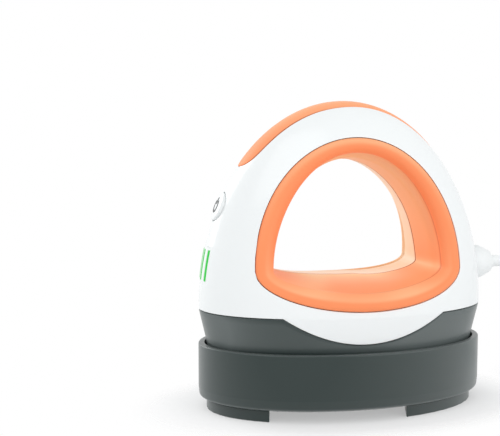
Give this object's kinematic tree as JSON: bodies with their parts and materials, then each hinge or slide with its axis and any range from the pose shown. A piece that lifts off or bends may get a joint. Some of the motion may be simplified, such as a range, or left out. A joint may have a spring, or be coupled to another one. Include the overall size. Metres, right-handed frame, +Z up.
{
  "type": "mini heat press",
  "caption": "Small handheld heat press with a domed body, a finger opening with an orange grip ring, and an oval heat plate, standing in its grey dock, with its cord coiled beside it.",
  "frame": {"origin": "middle of the dock, on the surface that its feet stand on", "axes": "+X along the body towards the cord, -Y the front of the press, +Z up"},
  "size_m": [0.3233, 0.0716, 0.1293],
  "materials": {
    "slate_plastic": "satin",
    "grey_silicone": "matte",
    "white_plastic": "gloss",
    "orange_plastic": "satin",
    "green_light": "gloss",
    "black_plastic": "satin",
    "steel": "satin",
    "board_green": "gloss",
    "lamp_clear": "gloss",
    "relay_blue": "satin",
    "capacitor_sleeve": "gloss",
    "coated_aluminium": "satin",
    "mica": "matte",
    "felt": "matte",
    "bright_aluminium": "satin",
    "fuse_body": "satin",
    "white_rubber": "satin",
    "core_brown": "satin",
    "core_red": "satin",
    "brass": "satin"
  },
  "bodies": {
    "dock": {"dock_tray": "slate_plastic", "dock_feet": "slate_plastic", "dock_mat": "grey_silicone", "cord_coil": "white_rubber", "cord_tie": "black_plastic", "plug_body": "white_rubber", "plug_blades": "brass", "power_cord": "white_rubber"},
    "press": {"front_shell": "white_plastic", "rear_shell": "white_plastic", "lower_housing": "slate_plastic", "front_grip": "orange_plastic", "rear_grip": "orange_plastic", "top_strip": "orange_plastic", "bar_frame": "white_plastic", "light_bars": "green_light", "tact_switch": "steel", "panel_board": "board_green", "indicator_leds": "lamp_clear", "carrier": "black_plastic", "control_board": "board_green", "power_relay": "relay_blue", "capacitor": "capacitor_sleeve", "terminal_block": "board_green", "board_screws": "steel", "heat_plate": "coated_aluminium", "heating_element": "mica", "element_clamp": "steel", "insulation_felt": "felt", "heat_shield": "bright_aluminium", "plate_posts": "steel", "plate_screws": "steel", "thermal_fuse": "fuse_body", "temperature_sensor": "black_plastic", "strain_relief": "white_rubber", "cord_clamp": "black_plastic", "clamp_screws": "steel", "cord_end": "white_rubber", "supply_leads": "core_brown", "heater_leads": "core_red"},
    "button": {"power_button": "white_plastic", "switch_plunger": "black_plastic"}
  },
  "joints": [
    {"name": "press_lift", "type": "slide", "parent": "dock", "child": "press", "axis": [0, 0, 1], "range_m": [0, 0.06]},
    {"name": "button_press", "type": "slide", "parent": "press", "child": "button", "axis": [0.9245, 0, -0.3813], "range_m": [0, 0.001], "stiffness_N_per_m": 400}
  ]
}
